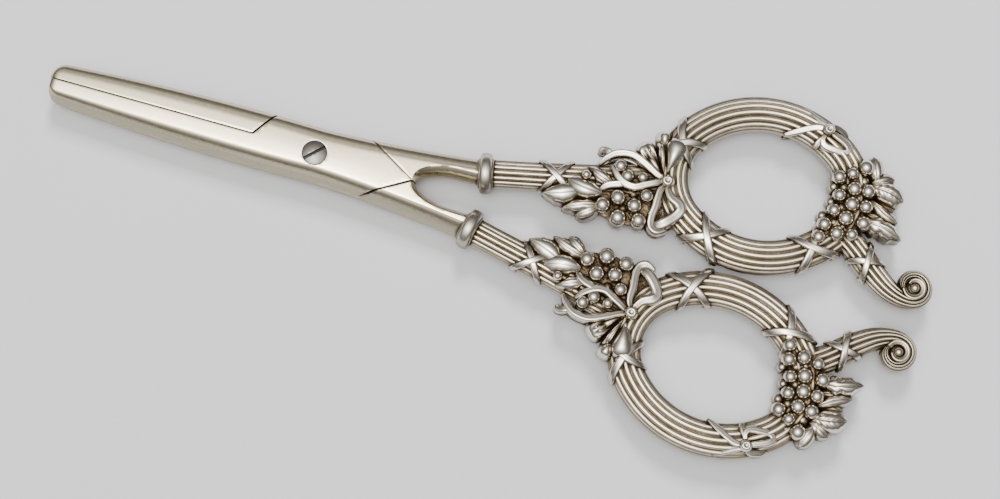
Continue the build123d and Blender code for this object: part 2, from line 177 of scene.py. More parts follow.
class Bar:
    """A bar that follows a path in plan: places, directions and half sizes by distance along it."""

    def __init__(self, points, halves, closed=False):
        self.closed = closed
        self.points = points
        self.halves = halves
        self.way = [0.0]
        ends = points + points[:1] if closed else points
        for p, q in zip(ends, ends[1:]):
            self.way.append(self.way[-1] + math.dist(p, q))
        self.length = self.way[-1]

    def at(self, s):
        """Middle, side direction and half sizes at this distance."""
        n = len(self.points)
        if self.closed:
            s %= self.length
        s = min(max(s, 0.0), self.length - 1e-6)
        i = bisect.bisect_right(self.way, s) - 1
        t = (s - self.way[i]) / (self.way[i + 1] - self.way[i])
        j = (i + 1) % n if self.closed else min(i + 1, n - 1)
        before = (i - 1) % n if self.closed else max(i - 1, 0)
        after = (j + 1) % n if self.closed else min(j + 1, n - 1)
        p, q = self.points[i], self.points[j]
        d0 = Vector(q) - Vector(self.points[before])
        d1 = Vector(self.points[after]) - Vector(p)
        d = d0.normalized().lerp(d1.normalized(), t).normalized()
        a = self.halves[i][0] * (1 - t) + self.halves[j][0] * t
        b = self.halves[i][1] * (1 - t) + self.halves[j][1] * t
        place = (p[0] * (1 - t) + q[0] * t, p[1] * (1 - t) + q[1] * t)
        return place, (-d[1], d[0]), a, b

    def skin_point(self, s, angle, out=0.0, share=1.0):
        """A place on the bar's surface: this far along and this far round, from its outer side."""
        (x, y), (nx, ny), a, b = self.at(s)
        c = math.cos(angle) * (a * share + out)
        return (x + nx * c, y + ny * c, MID + math.sin(angle) * (b * share + out))

    def nearest(self, place):
        """The distance along the bar that lies nearest to a place."""
        i = min(range(len(self.points)), key=lambda k: math.dist(self.points[k], place))
        return self.way[i]


def loop_bar():
    """The finger loop's rail: an oval of four arcs, from its rear and counter-clockwise."""
    end_r = LOOP_END_SHARE * CENTER_A
    end_c = CENTER_A - end_r
    side_r = (end_c**2 + CENTER_B**2 - end_r**2) / (2 * (CENTER_B - end_r))
    side_c = side_r - CENTER_B
    turn = math.degrees(math.atan2(side_c, end_c))
    points = []
    for cx, cy, r, start, stop in (
        (end_c, 0, end_r, -turn, turn),
        (0, -side_c, side_r, turn, 180 - turn),
        (-end_c, 0, end_r, 180 - turn, 180 + turn),
        (0, side_c, side_r, 180 + turn, 360 - turn),
    ):
        steps = round((stop - start) * r / 20)
        for i in range(steps):
            x, y = turned(r, 0, start + (stop - start) * i / steps)
            u, v = turned(cx + x, cy + y, LOOP_ANGLE)
            points.append((LOOP_X + u, LOOP_Y + v))
    return Bar(points, [(RAIL_W / 2, RAIL_T / 2)] * len(points), closed=True)


def stem_bar():
    """The stem, which swells from the collar to the loop."""
    points, halves = [], []
    steps = 60
    root = COLLAR_LEN / 2 - STEM_SOCKET
    for i in range(steps + 1):
        t = i / steps
        points.append(stem_point(root + t * (BOW_AT + STEM_PAST_BOW - root)))
        swell = t**STEM_SWELL
        width = STEM_W + (STEM_END_W - STEM_W) * swell
        halves.append((width / 2, (STEM_T + (STEM_END_T - STEM_T) * swell) / 2))
    return Bar(points, halves)


SCROLL_PATH = (
    (101.4, 14.3, 2.8), (104.6, 12.6, 2.8), (107.4, 10.6, 2.8), (109.9, 8.4, 2.75), (112.2, 6.6, 2.6),
    (114.4, 5.15, 2.35), (116.6, 4.2, 2.0), (118.7, 3.8, 1.65), (120.5, 4.2, 1.5), (121.6, 5.35, 1.45),
    (121.8, 6.9, 1.4), (121.0, 8.35, 1.35), (119.5, 9.0, 1.25), (118.0, 8.6, 1.15), (117.15, 7.5, 0.95),
    (117.15, 6.35, 0.7), (117.8, 5.5, 0.5),
)


def scroll_bar():
    """The scroll, from the loop round to its eye."""
    rows = smooth_path(SCROLL_PATH, 8)
    halves = []
    for i, row in enumerate(rows):
        t = i / (len(rows) - 1)
        halves.append((row[2], (SCROLL_T + (SCROLL_END_T - SCROLL_T) * t) / 2))
    return Bar([row[:2] for row in rows], halves)


LOOP = loop_bar()
STEM = stem_bar()
SCROLL = scroll_bar()


# Meshes: lists of places and faces for the upper half, in millimetres


class Shape:
    """Places and faces gathered for one piece."""

    def __init__(self):
        self.places = []
        self.faces = []

    def add(self, places, faces):
        """Take in more places and the faces between them."""
        start = len(self.places)
        self.places += places
        self.faces += [tuple(start + i for i in face) for face in faces]

    def tube(self, rings, closed=False):
        """A skin through rings of places, with flat ends unless it is closed."""
        n = len(rings[0])
        places = [p for ring in rings for p in ring]
        faces = []
        count = len(rings)
        for r in range(count if closed else count - 1):
            a, b = r * n, (r + 1) % count * n
            for i in range(n):
                j = (i + 1) % n
                faces.append((a + i, a + j, b + j, b + i))
        if not closed:
            faces.append(tuple(reversed(range(n))))
            faces.append(tuple((count - 1) * n + i for i in range(n)))
        self.add(places, faces)

    def both_faces(self, places, faces):
        """A form on the upper face, with its mirror on the lower."""
        self.add(places, faces)
        self.add([(x, y, OVERALL_T - z) for x, y, z in places], [tuple(reversed(f)) for f in faces])


def placed(name, data):
    """An object in the scene."""
    obj = bpy.data.objects.new(name, data)
    bpy.context.scene.collection.objects.link(obj)
    return obj


def for_both(name, shape, material, sharp_angle=None):
    """A piece on each half, standing for the node of that name; the lower half's is mirrored."""
    for side, flip in (("upper", 1), ("lower", -1)):
        mesh = bpy.data.meshes.new(f"{side}_{name}_form")
        places = [((x - PIVOT_X) * MM, flip * y * MM, z * MM) for x, y, z in shape.places]
        faces = [tuple(reversed(f)) for f in shape.faces] if flip < 0 else shape.faces
        mesh.from_pydata(places, [], faces)
        mesh.validate()
        mesh.update()
        mesh.shade_smooth()
        if sharp_angle is not None:
            mesh.set_sharp_from_angle(angle=math.radians(sharp_angle))
        mesh.materials.append(material)
        piece = placed(f"{side}_{name}_form", mesh)
        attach(piece, f"{side}_half")
        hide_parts(f"{side}_{name}")


# Reeded bars

RAIL_GROOVES = (-32, 32, 53, 77, 103, 127, 148, 212, 233, 257, 283, 307, 328)
SCROLL_GROOVES = (-36, 36, 62, 90, 118, 144, 216, 242, 270, 298, 324)
BROAD_REED = 40
REED_DEPTH = 0.24
SCROLL_REED_DEPTH = 0.25
PER_REED = 10


def reed_profile(grooves, depth):
    """Angles round a bar with how far out each place stands, as a share: round reeds between grooves."""
    rows = []
    for lo, hi in zip(grooves, grooves[1:]):
        for i in range(PER_REED):
            u = i / PER_REED
            bulge = math.sin(math.pi * u) ** 0.5 if u else 0.0
            if hi - lo > BROAD_REED:
                bulge = min(1.0, 5 * u, 5 * (1 - u)) ** 0.6 * 0.94
            rows.append((math.radians(lo + (hi - lo) * u), 1 - depth * (1 - bulge)))
    return rows


def reeded(bar, step, depth=REED_DEPTH, grooves=RAIL_GROOVES):
    """The reeded skin of a whole bar."""
    shape = Shape()
    profile = reed_profile(grooves, depth)
    count = round(bar.length / step)
    rings = []
    for i in range(count if bar.closed else count + 1):
        rings.append([bar.skin_point(bar.length * i / count, a, share=share) for a, share in profile])
    shape.tube(rings, closed=bar.closed)
    return shape


def scroll():
    """The reeded scroll with its eye and the small curl round it."""
    shape = reeded(SCROLL, 0.4, SCROLL_REED_DEPTH, SCROLL_GROOVES)
    x, y = EYE
    for sign in (1, -1):
        bead(shape, (x + 0.05, y, MID + sign * 1.75), 1.0)
        bead(shape, (x, y, MID + sign * 0.5), 1.95, 0.85)
    curl = []
    for k in range(10):
        u, v = turned(2.05 - 0.09 * k, 0, 195 + 36 * k)
        curl.append((x + u, y + v, MID + 2.05 + 0.02 * k))
    ribbon_strip(shape, curl, 1.15, 0.9, start=0.9, end=0.6)
    return shape


# Ribbons

RIBBON_RIDGE = (
    (-1, -0.3), (-1.02, 0.3), (-0.86, 0.78), (-0.55, 0.96), (-0.2, 0.92), (0.2, 0.92), (0.55, 0.96),
    (0.86, 0.78), (1.02, 0.3), (1, -0.3),
)
TIE_T = 0.5
TIE_LIFT = 0.12
TIE_SUNK = 0.15
TIE_OVER = 0.08
TIES = (
    (LOOP, (77.75, 5.0), 3.4, 1.55), (LOOP, (68.6, 21.9), 3.4, 1.55), (LOOP, (99.4, 7.4), 3.4, 1.55),
    (STEM, stem_point(13.6), 2.9, 1.3), (SCROLL, (109.4, 8.8), 2.3, 1.3),
)


def ribbon_ring(shape, bar, middle, reach, width, lift):
    """One slanting turn of ribbon round a bar."""
    rings = []
    steps = 72
    for i in range(steps):
        a = 2 * math.pi * i / steps
        s = middle + reach * math.cos(a)
        slope = -reach * math.sin(a)
        _, _, half_w, half_t = bar.at(s)
        run = math.hypot(half_w * math.sin(a), half_t * math.cos(a))
        length = math.hypot(slope, run)
        ds, da = run / length, -slope / length / max(run, 0.5)
        ring = []
        for side, out in RIBBON_RIDGE:
            aside = side * width / 2
            ring.append(bar.skin_point(s + aside * ds, a + aside * da, lift + out * TIE_T - TIE_SUNK))
        rings.append(ring)
    shape.tube(rings, closed=True)


def ribbon_ties():
    """The crossed ribbons on loop, stem and scroll: two turns at each place, one over the other."""
    shape = Shape()
    for bar, place, reach, width in TIES:
        middle = bar.nearest(place)
        ribbon_ring(shape, bar, middle, reach, width, TIE_LIFT)
        ribbon_ring(shape, bar, middle, -reach, width, TIE_LIFT + TIE_OVER)
    return shape


STRIP_RIDGE = (
    (-1.1, -1.7), (-1.12, -0.9), (-1.06, -0.3), (-0.9, 0.22), (-0.66, 0.5), (-0.38, 0.54), (-0.1, 0.44),
    (0.18, 0.34), (0.44, 0.28), (0.66, 0.22), (0.86, 0.02), (1.04, -0.4), (1.12, -0.9), (1.1, -1.7),
)
STRIP_LEAD, STRIP_TAIL = 0.3, 0.35


def ribbon_strip(shape, points, width, thick, start=0.75, end=0.35):
    """A raised ribbon on each face along points of (x, y, z), hollow in the middle, narrow at its ends."""
    path = smooth_path(points, 7)
    rings = []
    last = len(path) - 1
    for i, (x, y, z) in enumerate(path):
        before, after = path[max(i - 1, 0)], path[min(i + 1, last)]
        d = Vector((after[0] - before[0], after[1] - before[1])).normalized()
        t = i / last
        lead = start + (1 - start) * min(1.0, t / STRIP_LEAD)
        tail = end + (1 - end) * math.sin(math.pi / 2 * min(1.0, (1 - t) / STRIP_TAIL))
        share = lead * tail
        w = width / 2 * share
        ring = []
        for side, out in STRIP_RIDGE:
            ring.append((x - d[1] * w * side, y + d[0] * w * side, z + out * thick * (0.4 + 0.6 * share)))
        rings.append(ring)
    part = Shape()
    part.tube(rings)
    shape.both_faces(part.places, part.faces)


# How far the wall between the faces of a petal or leaf is drawn in, as a share of the way to its middle
WAIST_SHARE = 0.12


def petal(shape, base, tip, width, high, low=4.6, folds=1, root=0.25, droop=0.35):
    """A full bow loop on each face: a swollen form with folds that run to the knot."""
    rows, cols = 26, 28
    places = []
    for i in range(rows + 1):
        t = i / rows
        w = width / 2 * (root + (1 - root) * math.sin(math.pi / 2 * min(1.0, t / 0.68)) ** 1.4)
        w *= rounded_off(t, 0.66, 2.4)
        end = rounded_off(t, 0.6, 2.6)
        rise = (0.5 + 0.5 * math.sin(math.pi / 2 * min(1.0, t / 0.55))) * (1 - droop + droop * end)
        deep = 0.42 * max(0.0, 1 - t / 0.85)
        for j in range(cols + 1):
            v = 2 * j / cols - 1
            dome = rounded_off(abs(v), 0.0, 2.4)
            fold = 0.5 - 0.5 * math.cos(math.pi * (v + 1) * folds)
            z = low + (high - low) * rise * dome * end * (1 - deep + deep * fold)
            places.append((*beside(base, tip, t, w * v), z))
    close_field(shape, places, rows, cols)


def close_field(shape, places, rows, cols):
    """Close a field of places over the upper face with its mirror below, by a wall drawn in a little."""
    n = cols + 1
    count = len(places)
    rim = list(range(n)) + [i * n + cols for i in range(1, rows + 1)]
    rim += [rows * n + j for j in reversed(range(cols))] + [i * n for i in reversed(range(1, rows))]
    middle = Vector((sum(p[0] for p in places) / count, sum(p[1] for p in places) / count))
    waist = [(*Vector(places[k][:2]).lerp(middle, WAIST_SHARE), MID) for k in rim]
    top = []
    for i in range(rows):
        for j in range(cols):
            k = i * n + j
            top.append((k, k + 1, k + n + 1, k + n))
    faces = top + [tuple(reversed([count + k for k in f])) for f in top]
    for i, k in enumerate(rim):
        j = (i + 1) % len(rim)
        faces.append((rim[j], k, 2 * count + i, 2 * count + j))
        faces.append((2 * count + j, 2 * count + i, count + k, count + rim[j]))
    a, b, c = (Vector(places[k]) for k in (n + 1, n + 2, 2 * n + 2))
    if (b - a).cross(c - a).z < 0:
        faces = [tuple(reversed(f)) for f in faces]
    shape.add(places + [(x, y, OVERALL_T - z) for x, y, z in places] + waist, faces)


def bead(shape, middle, radius, stretch=1.0):
    """A round bead, stretched in height or not."""
    x, y, z = middle
    rings = []
    levels = 12
    for i in range(levels + 1):
        a = math.pi * (i / levels - 0.5)
        r = max(radius * math.cos(a), radius * 0.02)
        rings.append([(x + u, y + v, z + stretch * radius * math.sin(a)) for u, v in circle(r, 20)])
    shape.tube(rings)


KNOT = stem_point(BOW_AT)
KNOT_PROFILE = (
    (0.9, 0.62), (0.98, 0.72), (1.0, 0.8), (0.97, 0.87), (0.88, 0.93), (0.75, 0.97), (0.58, 0.993),
    (0.42, 1.0), (0.3, 0.985), (0.18, 0.975), (0.02, 0.972),
)
KNOT_SQUASH = 0.92
CREASE = 0.06


def knot_boss(shape, place, radius):
    """The wrapped knot of a bow: a button as tall as the whole piece, with a spiral crease on each face."""
    x, y = place
    around = 40
    for sign in (1, -1):
        rings = []
        for share, z in KNOT_PROFILE:
            ring = []
            for k in range(around):
                a = 2 * math.pi * k / around
                crease = 1 - CREASE * (0.5 + 0.5 * math.cos(3 * a + 0.8)) * (0.4 < share < 0.95)
                r = radius * share * crease
                ring.append((
                    x + r * math.cos(a), y + KNOT_SQUASH * r * math.sin(a) * sign,
                    MID + sign * (OVERALL_T * z - MID),
                ))
            rings.append(ring)
        shape.tube(rings)


def ribbon_bow():
    """The bow where stem and loop meet, with its loops and curling tails."""
    shape = Shape()
    x, y = KNOT
    knot_boss(shape, KNOT, 1.5)
    petal(shape, (64.9, 15.9), (60.8, 19.9), 4.3, 7.6, folds=3, root=0.6)
    petal(shape, (x - 0.9, y + 0.5), (62.6, 17.9), 2.4, 7.2)
    petal(shape, (x - 0.8, y + 0.8), (64.3, 21.2), 2.0, 7.9, root=0.6)
    petal(shape, (65.6, 19.4), (64.8, 23.5), 3.5, 7.5, low=4.5, root=0.85)
    petal(shape, (67.3, 14.9), (68.2, 23.0), 5.6, 8.05, root=0.4, droop=0.05)
    ribbon_strip(shape, [
        (x + 0.2, y - 0.8, 6.9), (69.3, 10.7, 7.2), (71.1, 9.8, 7.2), (71.8, 8.7, 7.0), (71.1, 7.2, 6.9),
        (69.4, 5.4, 7.0), (68.1, 4.6, 6.6), (66.9, 4.3, 5.8),
    ], 2.2, 0.85, start=0.6, end=0.8)
    ribbon_strip(shape, [
        (x - 0.3, y - 1.0, 6.9), (66.9, 11.0, 7.1), (66.9, 8.3, 7.0), (66.7, 5.9, 6.8), (67.1, 4.1, 6.6),
        (68.4, 3.5, 6.6), (69.9, 4.4, 6.3),
    ], 1.75, 0.85, start=0.7, end=0.85)
    ground(shape, (
        (66.0, 4.6), (68.4, 3.2), (70.4, 5.0), (72.2, 8.6), (71.0, 10.4), (68.0, 13.0), (65.8, 9.5),
    ), 1.2)
    ribbon_strip(shape, [
        (x - 0.8, y + 0.3, 7.0), (65.4, 14.3, 7.1), (62.9, 15.6, 7.3), (60.0, 16.7, 7.3), (57.1, 16.3, 7.1),
        (55.3, 14.9, 6.8), (54.2, 13.3, 6.4),
    ], 1.55, 0.75)
    ribbon_strip(shape, [
        (x - 0.9, y - 0.2, 7.0), (65.6, 12.5, 7.3), (63.7, 11.5, 7.4), (61.9, 10.6, 7.4), (59.7, 10.9, 7.3),
        (57.9, 12.2, 7.1), (56.6, 13.6, 6.7),
    ], 1.65, 0.75)
    for end in (
        ((56.2, 15.7, 6.7), (55.1, 16.2, 6.5), (54.1, 16.3, 6.0), (53.5, 15.6, 5.6)),
        ((61.0, 10.9, 7.1), (58.8, 10.4, 7.1), (56.8, 9.6, 6.9), (55.6, 8.4, 6.5)),
    ):
        ribbon_strip(shape, end, 1.6, 0.7)
    return shape


RAIL_KNOT = (95.6, 32.1)


def rail_bow():
    """The small bow on the outer side of the loop, with its hook and its straps."""
    shape = Shape()
    x, y = RAIL_KNOT
    knot_boss(shape, RAIL_KNOT, 1.35)
    ribbon_strip(shape, [
        (x + 0.4, y - 0.2, 7.0), (97.4, 31.3, 7.0), (99.5, 30.4, 6.8), (100.4, 29.4, 6.6), (99.6, 28.6, 6.6),
        (97.6, 28.6, 6.8), (95.6, 28.9, 6.9), (94.9, 29.9, 7.0), (95.2, 30.9, 7.0),
    ], 1.45, 0.6, end=0.7)
    for strap in (
        ((x - 0.6, y, 7.1), (93.2, 32.0, 6.9), (90.4, 30.7, 6.5), (87.4, 29.0, 5.8)),
        ((x - 0.4, y + 0.4, 7.1), (93.8, 33.1, 6.7), (91.6, 34.3, 5.9), (89.6, 35.4, 4.9)),
        ((x + 0.5, y + 0.5, 7.0), (97.0, 33.0, 6.5), (98.6, 32.6, 5.9), (99.8, 31.8, 5.4)),
        ((95.2, 30.5, 6.9), (94.4, 29.3, 6.7), (93.9, 28.0, 6.3)),
    ):
        ribbon_strip(shape, strap, 1.45, 0.55)
    return shape


# Grapes and leaves

SPRAY_GRAPES = (
    (59.4, 7.8, 1.65), (56.9, 5.6, 1.6), (62.9, 7.1, 1.6), (64.7, 9.6, 1.45), (60.4, 4.0, 1.75),
    (64.4, 4.5, 1.6), (58.3, 14.0, 1.4), (60.1, 12.4, 1.45), (63.0, 12.9, 1.15), (52.3, 10.4, 0.95),
)
SPRAY_FILL = ((60.9, 6.2, 1.1), (62.2, 9.6, 1.1))
CLUSTER_GRAPES = (
    (104.5, 26.8, 1.5), (102.2, 24.9, 1.2), (99.9, 23.6, 1.35), (103.3, 22.1, 1.5), (106.0, 22.3, 1.4),
    (100.8, 20.1, 1.25), (103.6, 19.0, 1.55), (106.3, 19.2, 1.35), (100.5, 16.9, 1.25), (103.1, 16.0, 1.6),
    (106.6, 15.9, 1.45), (99.4, 13.7, 1.4), (102.1, 12.6, 1.45), (105.0, 13.1, 1.2), (98.9, 11.0, 1.3),
)
CLUSTER_FILL = (
    (101.4, 22.0, 1.1), (104.8, 20.7, 1.1), (104.9, 24.2, 1.2), (101.9, 18.0, 1.1), (105.0, 17.4, 1.1),
    (101.2, 14.7, 1.1), (103.9, 13.6, 1.1), (99.4, 21.6, 1.0), (99.6, 18.5, 0.95), (98.6, 15.4, 1.0),
    (100.6, 11.6, 1.1), (102.4, 26.9, 1.0),
)

# Crowns of the outer and the inner grapes, above the middle of the shears
SPRAY_HIGH, SPRAY_LOW = 4.0, 1.8
CLUSTER_HIGH, CLUSTER_LOW = 4.02, 2.5
CLUSTER_SWELL = 1.09
GRAIN = 0.13


def grape(shape, place, radius, crown):
    """One grape on each face."""
    for sign in (1, -1):
        bead(shape, (*place, MID + sign * (crown - radius)), radius)


def grape_cluster():
    """Grapes heaped round the rear of the loop, on both faces and between them."""
    shape = Shape()
    for x, y, r in CLUSTER_GRAPES:
        grape(shape, (x, y), r * CLUSTER_SWELL, CLUSTER_HIGH)
    for x, y, r in CLUSTER_FILL:
        grape(shape, (x, y), r, CLUSTER_LOW)
        bead(shape, (x, y, MID), r)
    for x, y, r in CLUSTER_GRAPES:
        # Those at the rim also show from the side
        if y > 24 or x < 101:
            bead(shape, (x, y, MID), r * 0.94)
    return shape


def ground(shape, outline, rise):
    """The rough cast ground that joins small forms on both faces, with a rounded edge."""
    path = smooth_path(outline, 18, closed=True)
    cx = sum(p[0] for p in path) / len(path)
    cy = sum(p[1] for p in path) / len(path)
    shares = [0.03 + 0.97 * k / 28 for k in range(29)]
    rings = []
    for sign, order in ((1, shares), (-1, shares[::-1])):
        for share in order:
            edge = math.sqrt(max(0.0, 1 - max(0.0, (share - 0.74) / 0.28) ** 2))
            ring = []
            for px, py in path:
                x, y = cx + (px - cx) * share, cy + (py - cy) * share
                grain = math.sin(6.1 * x + 1.4 * math.sin(3.7 * y))
                grain *= math.sin(5.7 * y + 1.2 * math.sin(4.1 * x))
                ring.append((x, y, MID + sign * (rise + GRAIN * grain) * (0.3 + 0.7 * edge)))
            rings.append(ring)
    shape.tube(rings)


def stem_grapes():
    """The grapes on the inner side of the stem, with the smaller ones and the ground between them."""
    shape = Shape()
    for x, y, r in SPRAY_GRAPES:
        grape(shape, (x, y), r, SPRAY_HIGH)
        # Those away from the stem also show from the side
        if y < 8.2:
            bead(shape, (x, y, MID), r * 0.96)
    for x, y, r in SPRAY_FILL:
        grape(shape, (x, y), r, SPRAY_LOW)
        bead(shape, (x, y, MID), r * 0.96)
    ground(shape, (
        (53.0, 9.0), (54.0, 4.9), (57.8, 3.6), (62.0, 3.2), (66.2, 4.6), (67.6, 9.5), (65.0, 13.5),
        (57.0, 13.6),
    ), 1.0)
    return shape


# Half widths of a leaf as shares, by the share of its length
BROAD_LEAF = (
    (0, 0.3), (0.12, 0.62), (0.3, 0.94), (0.5, 1.0), (0.7, 0.84), (0.86, 0.52), (0.95, 0.26), (1, 0.06),
)
LOBED_LEAF = (
    (0, 0.3), (0.12, 0.7), (0.3, 1.0), (0.44, 0.8), (0.54, 0.92), (0.7, 0.9), (0.82, 0.56), (0.93, 0.4),
    (1, 0.1),
)
BLUNT_LEAF = (
    (0, 0.4), (0.15, 0.7), (0.35, 0.94), (0.55, 1.0), (0.75, 0.96), (0.88, 0.76), (0.96, 0.48), (1, 0.12),
)
LEAF_LOW = 4.7
LEAF_TOP = OVERALL_T - 0.05
LEAF_ARCH = 0.35
MIDRIB_W = 0.08


def width_at(outline, t):
    """The half width of a leaf as a share, this far from its root."""
    for (t0, w0), (t1, w1) in zip(outline, outline[1:]):
        if t <= t1:
            u = (t - t0) / (t1 - t0)
            u = u * u * (3 - 2 * u)
            return w0 + (w1 - w0) * u
    return outline[-1][1]


def leaf(shape, base, tip, width, high, outline, veins, vein, bend=0.0, twist=0.0):
    """A swollen leaf on both faces with a midrib and side veins, bent or tilted to one side."""
    rows, cols = 34, 26
    places = []
    for i in range(rows + 1):
        t = i / rows
        w = width / 2 * width_at(outline, t)
        lean = bend * math.sin(math.pi * t)
        along = 1 - LEAF_ARCH * (2 * t - 0.9) ** 2
        for j in range(cols + 1):
            v = 2 * j / cols - 1
            dome = rounded_off(abs(v), 0.0, 2.3)
            rib = 1 - 1.4 * vein * math.exp(-((v / MIDRIB_W) ** 2)) * (t < 0.92)
            ray = 0.5 + 0.5 * math.cos(2 * math.pi * (veins * (t - 0.3 * abs(v)) + 0.5))
            side = 1 - vein * ray**5 * min(1.0, 6 * abs(v)) * (1 - t)
            z = LEAF_LOW + (high - LEAF_LOW) * dome * along * rib * side * (1 + twist * v)
            places.append((*beside(base, tip, t, w * v + lean), min(z, LEAF_TOP)))
    close_field(shape, places, rows, cols)


def stem_leaves():
    """The leaves that point from the grapes back along the stem."""
    shape = Shape()
    leaf(shape, (56.4, 5.4), (49.4, 2.9), 3.5, 7.3, LOBED_LEAF, veins=1, vein=0.05, bend=-0.3)
    leaf(shape, (56.4, 5.0), (52.4, 2.2), 3.2, 7.1, BLUNT_LEAF, veins=1, vein=0.04)
    leaf(shape, (52.3, 7.4), (44.9, 4.7), 5.0, 7.5, BROAD_LEAF, veins=1, vein=0.03, bend=0.25)
    leaf(shape, (56.2, 7.7), (48.9, 8.7), 4.9, 7.9, BLUNT_LEAF, veins=1, vein=0.025, bend=0.3, twist=0.06)
    leaf(shape, (57.9, 10.1), (52.3, 12.3), 3.4, 7.6, BROAD_LEAF, veins=1, vein=0.05, bend=0.2)
    return shape


def vine_leaves():
    """The broad crumpled leaf behind the cluster, in lobes that fold over each other."""
    shape = Shape()
    leaf(shape, (107.4, 24.8), (105.5, 29.5), 3.6, 7.0, BLUNT_LEAF, veins=1, vein=0.05)
    leaf(shape, (106.4, 24.2), (110.6, 26.2), 3.4, 6.9, BLUNT_LEAF, veins=2, vein=0.08)
    leaf(shape, (106.6, 23.4), (113.2, 22.2), 4.9, 7.8, BLUNT_LEAF, veins=6, vein=0.07, bend=0.3, twist=0.05)
    leaf(shape, (106.9, 19.9), (112.0, 20.4), 2.8, 6.0, BLUNT_LEAF, veins=1, vein=0.08)
    leaf(shape, (107.0, 20.9), (113.2, 17.8), 3.0, 6.9, BLUNT_LEAF, 1, vein=0.09, bend=-0.3, twist=-0.14)
    leaf(shape, (106.8, 18.3), (113.4, 16.4), 2.7, 6.3, BLUNT_LEAF, veins=1, vein=0.08, bend=0.2)
    leaf(shape, (106.9, 16.5), (114.6, 14.7), 4.4, 7.7, LOBED_LEAF, veins=2, vein=0.07, bend=0.35, twist=0.08)
    return shape


# Collar

# Radius and distance from the middle, for one half of the ring
COLLAR_HALF = (
    (0.6, 1.5), (2.9, 1.5), (3.0, 1.42), (3.04, 1.17), (3.5, 1.14), (3.78, 1.04), (3.95, 0.85), (4.04, 0.55),
    (4.1, 0.15),
)


def collar():
    """The barrel ring between shank and stem."""
    shape = Shape()
    x, y = stem_point(0)
    rings = []
    for r, along in [(r, -half) for r, half in COLLAR_HALF] + list(reversed(COLLAR_HALF)):
        ring = []
        for side, high in circle(r, 64):
            u, v = turned(along, side, STEM_ANGLE)
            ring.append((x + u, y + v, MID + high))
        rings.append(ring)
    shape.tube(rings)
    return shape


# Finishes

COLOR, FLOAT = "NodeSocketColor", "NodeSocketFloat"
# How far round a place the shader looks for walls, and how deep the wear's dents are
RECESS_REACH = 1.3 * MM
WEAR_DEPTH = 0.05 * MM
# Heights above the middle between which painted shade comes in on the deep places, darker nearer the middle
DEEP_SHADE_FROM, DEEP_SHADE_TO = 2.9 * MM, 1.1 * MM


def feed(tree, node, inputs):
    """Set inputs of a node to numbers or colours, or link values to them."""
    for label, value in inputs.items():
        socket = node.inputs[label]
        if isinstance(value, bpy.types.NodeSocket):
            tree.links.new(value, socket)
        elif socket.type == "RGBA":
            socket.default_value = (*value, 1.0)
        else:
            socket.default_value = value


def group(name, inputs, outputs):
    """An empty node group with these sockets."""
    tree = bpy.data.node_groups.new(name, "ShaderNodeTree")
    for way, sockets in (("INPUT", inputs), ("OUTPUT", outputs)):
        for label, kind in sockets.items():
            tree.interface.new_socket(label, in_out=way, socket_type=kind)
    return tree, tree.nodes.new("NodeGroupInput").outputs, tree.nodes.new("NodeGroupOutput")


def noise(tree, scale, detail, rough=0.55, stretch=None):
    """Noise over the object's own coordinates, with its scale per metre."""
    source = tree.nodes.new("ShaderNodeTexCoord").outputs["Object"]
    if stretch:
        mapping = tree.nodes.new("ShaderNodeMapping")
        feed(tree, mapping, {"Vector": source, "Scale": stretch})
        source = mapping.outputs["Vector"]
    node = tree.nodes.new("ShaderNodeTexNoise")
    feed(tree, node, {"Vector": source, "Scale": scale, "Detail": detail, "Roughness": rough})
    return node.outputs["Fac"]


def map_range(tree, value, low, high, to_low=0.0, to_high=1.0):
    """A value spread between two limits."""
    node = tree.nodes.new("ShaderNodeMapRange")
    feed(tree, node, {"Value": value, "From Min": low, "From Max": high, "To Min": to_low, "To Max": to_high})
    return node.outputs["Result"]


def mix_color(tree, factor, a, b, mode="MIX"):
    """Two colours mixed."""
    node = tree.nodes.new("ShaderNodeMix")
    node.data_type = "RGBA"
    node.blend_type = mode
    feed(tree, node, {0: factor, 6: a, 7: b})
    return node.outputs[2]


def math_node(tree, op, *values, clamp=False):
    """One sum on values."""
    node = tree.nodes.new("ShaderNodeMath")
    node.operation = op
    node.use_clamp = clamp
    feed(tree, node, dict(enumerate(values)))
    return node.outputs[0]


